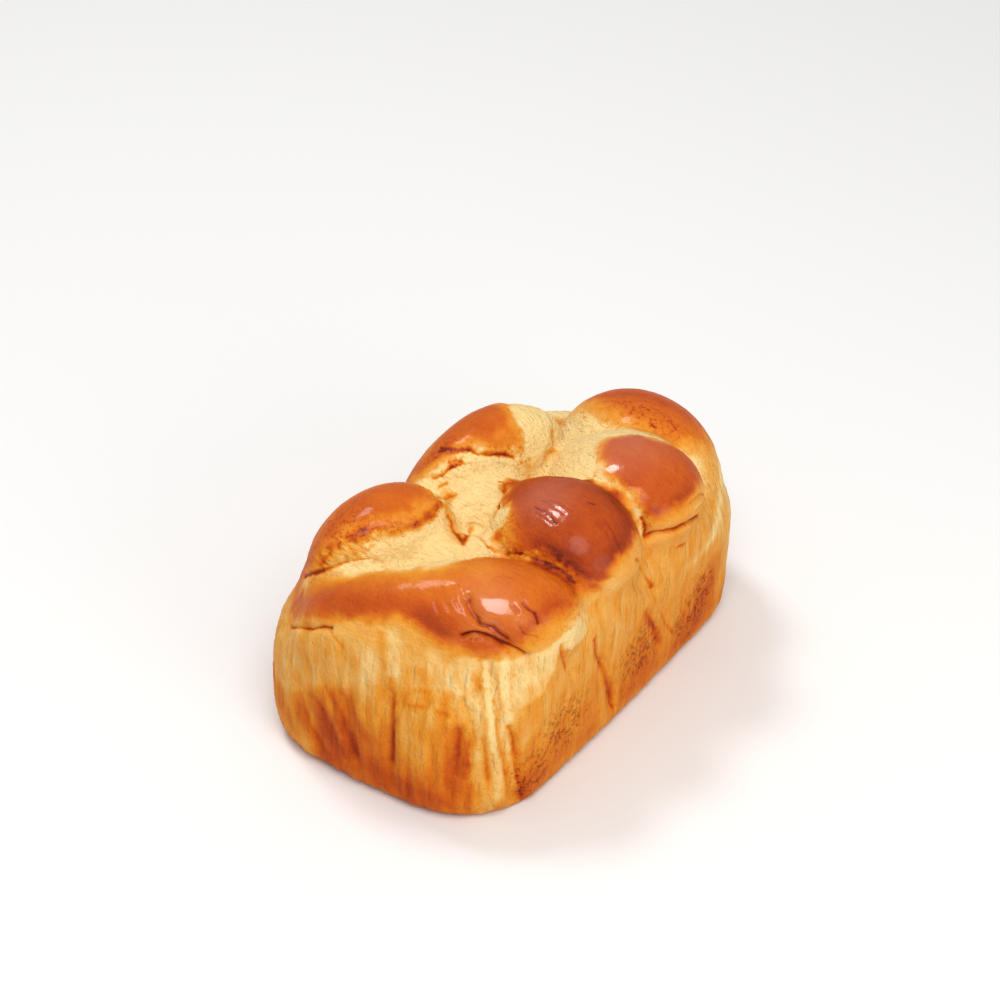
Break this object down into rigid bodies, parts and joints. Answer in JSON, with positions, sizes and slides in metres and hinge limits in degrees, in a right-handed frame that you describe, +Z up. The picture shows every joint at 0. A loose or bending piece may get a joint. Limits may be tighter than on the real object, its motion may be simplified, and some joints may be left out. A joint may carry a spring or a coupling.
{
  "type": "brioche loaf",
  "caption": "Plaited, tin-baked brioche loaf with glossy brown crowns, pale stretched seams and straight golden sides, flat underneath.",
  "frame": {"origin": "centre of the flat underside that the loaf stands on", "axes": "+Z up, Y along the loaf's length with the near end at -Y, X across its width"},
  "size_m": [0.1141, 0.1746, 0.0919],
  "materials": {
    "brioche_crust": "baked crust, egg-washed gloss on the crowns, satin golden sides, pale matte seams"
  },
  "bodies": {
    "root": {"brioche": "brioche_crust"}
  },
  "joints": []
}
